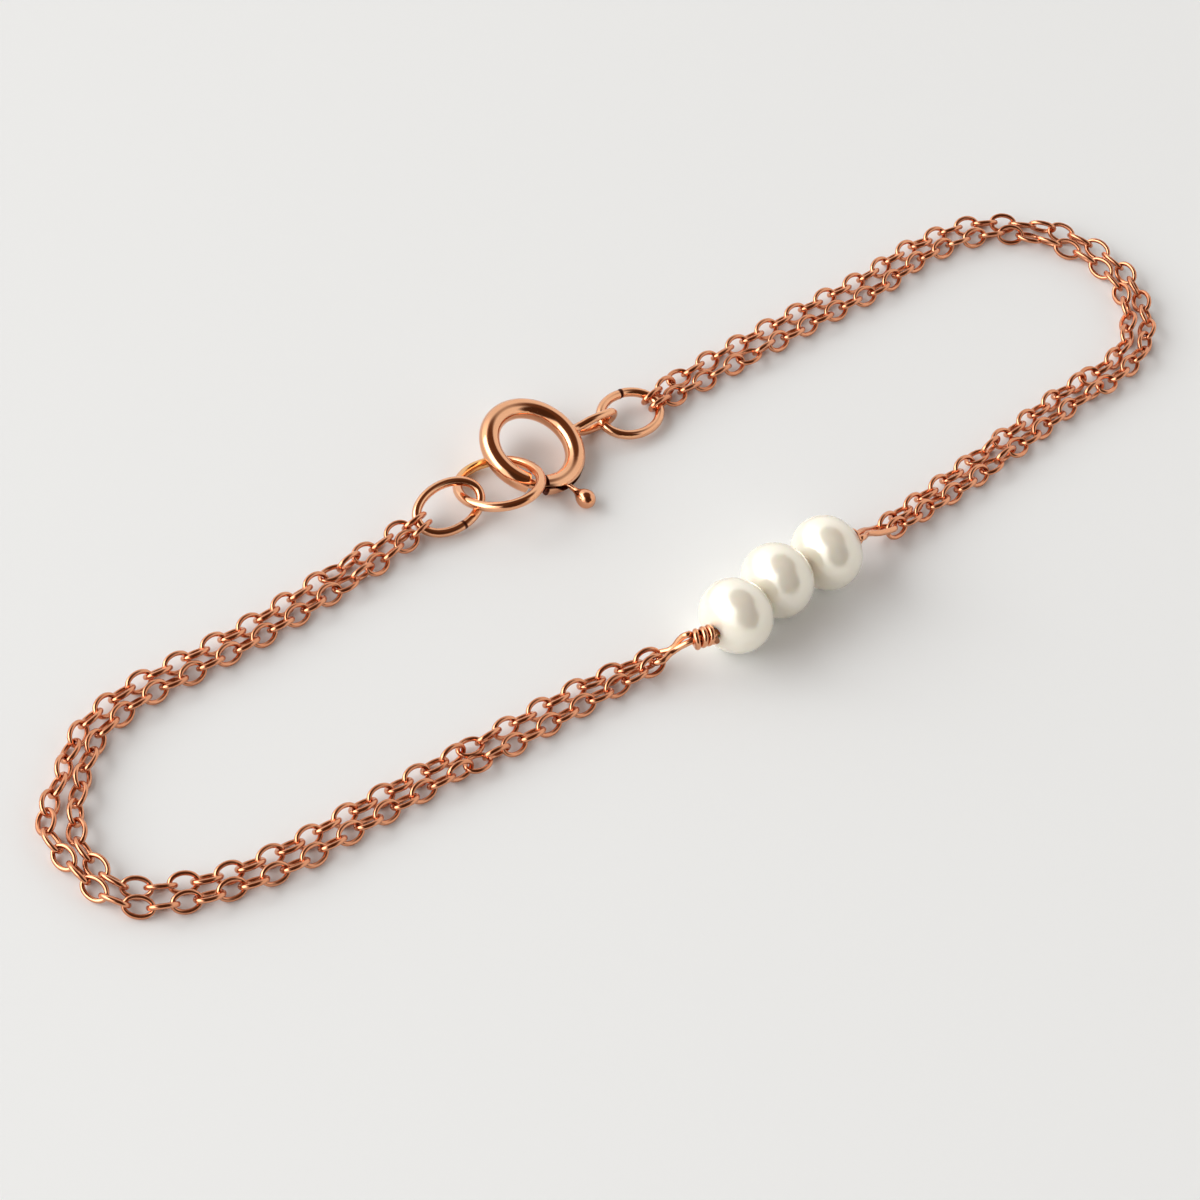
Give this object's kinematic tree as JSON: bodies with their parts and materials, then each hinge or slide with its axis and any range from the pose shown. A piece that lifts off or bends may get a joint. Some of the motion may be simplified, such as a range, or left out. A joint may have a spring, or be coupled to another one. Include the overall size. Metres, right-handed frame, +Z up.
{
  "type": "pearl bracelet with a spring ring clasp",
  "caption": "Dainty bracelet lying closed: white pearls on a wire-wrapped link, double strands of fine cable chain, jump rings and a spring ring clasp.",
  "frame": {"origin": "bottom centre of the bracelet's box, on the surface it lies on", "axes": "+X along the lying bracelet's length towards the right-hand bend, +Y across it from the pearls to the clasp, +Z up"},
  "size_m": [0.0778, 0.0205, 0.0041],
  "materials": {
    "rose_gold": "polished rose-gold colour, mirror bright with soft streaks",
    "chain_gold": "polished rose-gold colour chain, a little darker in its joints",
    "pearl": "lustrous white nacre with a cream and faint green-grey cast"
  },
  "bodies": {
    "bracelet": {"pearl_1": "pearl", "pearl_2": "pearl", "pearl_3": "pearl", "pearl_wire": "rose_gold", "chain_left_outer": "chain_gold", "chain_left_inner": "chain_gold", "chain_right_outer": "chain_gold", "chain_right_inner": "chain_gold", "jump_ring_left": "rose_gold", "end_ring": "rose_gold", "jump_ring_right": "rose_gold", "clasp_ring": "rose_gold"},
    "bolt": {"clasp_bolt": "rose_gold"}
  },
  "joints": [
    {"name": "bolt_slide", "type": "hinge", "parent": "bracelet", "child": "bolt", "pos_m": [-0.00185, 0.00731, 0.00118], "axis": [0.066, -0.2385, 0.9689], "range_deg": [0, 24], "stiffness_Nm_per_rad": 0.0002}
  ]
}
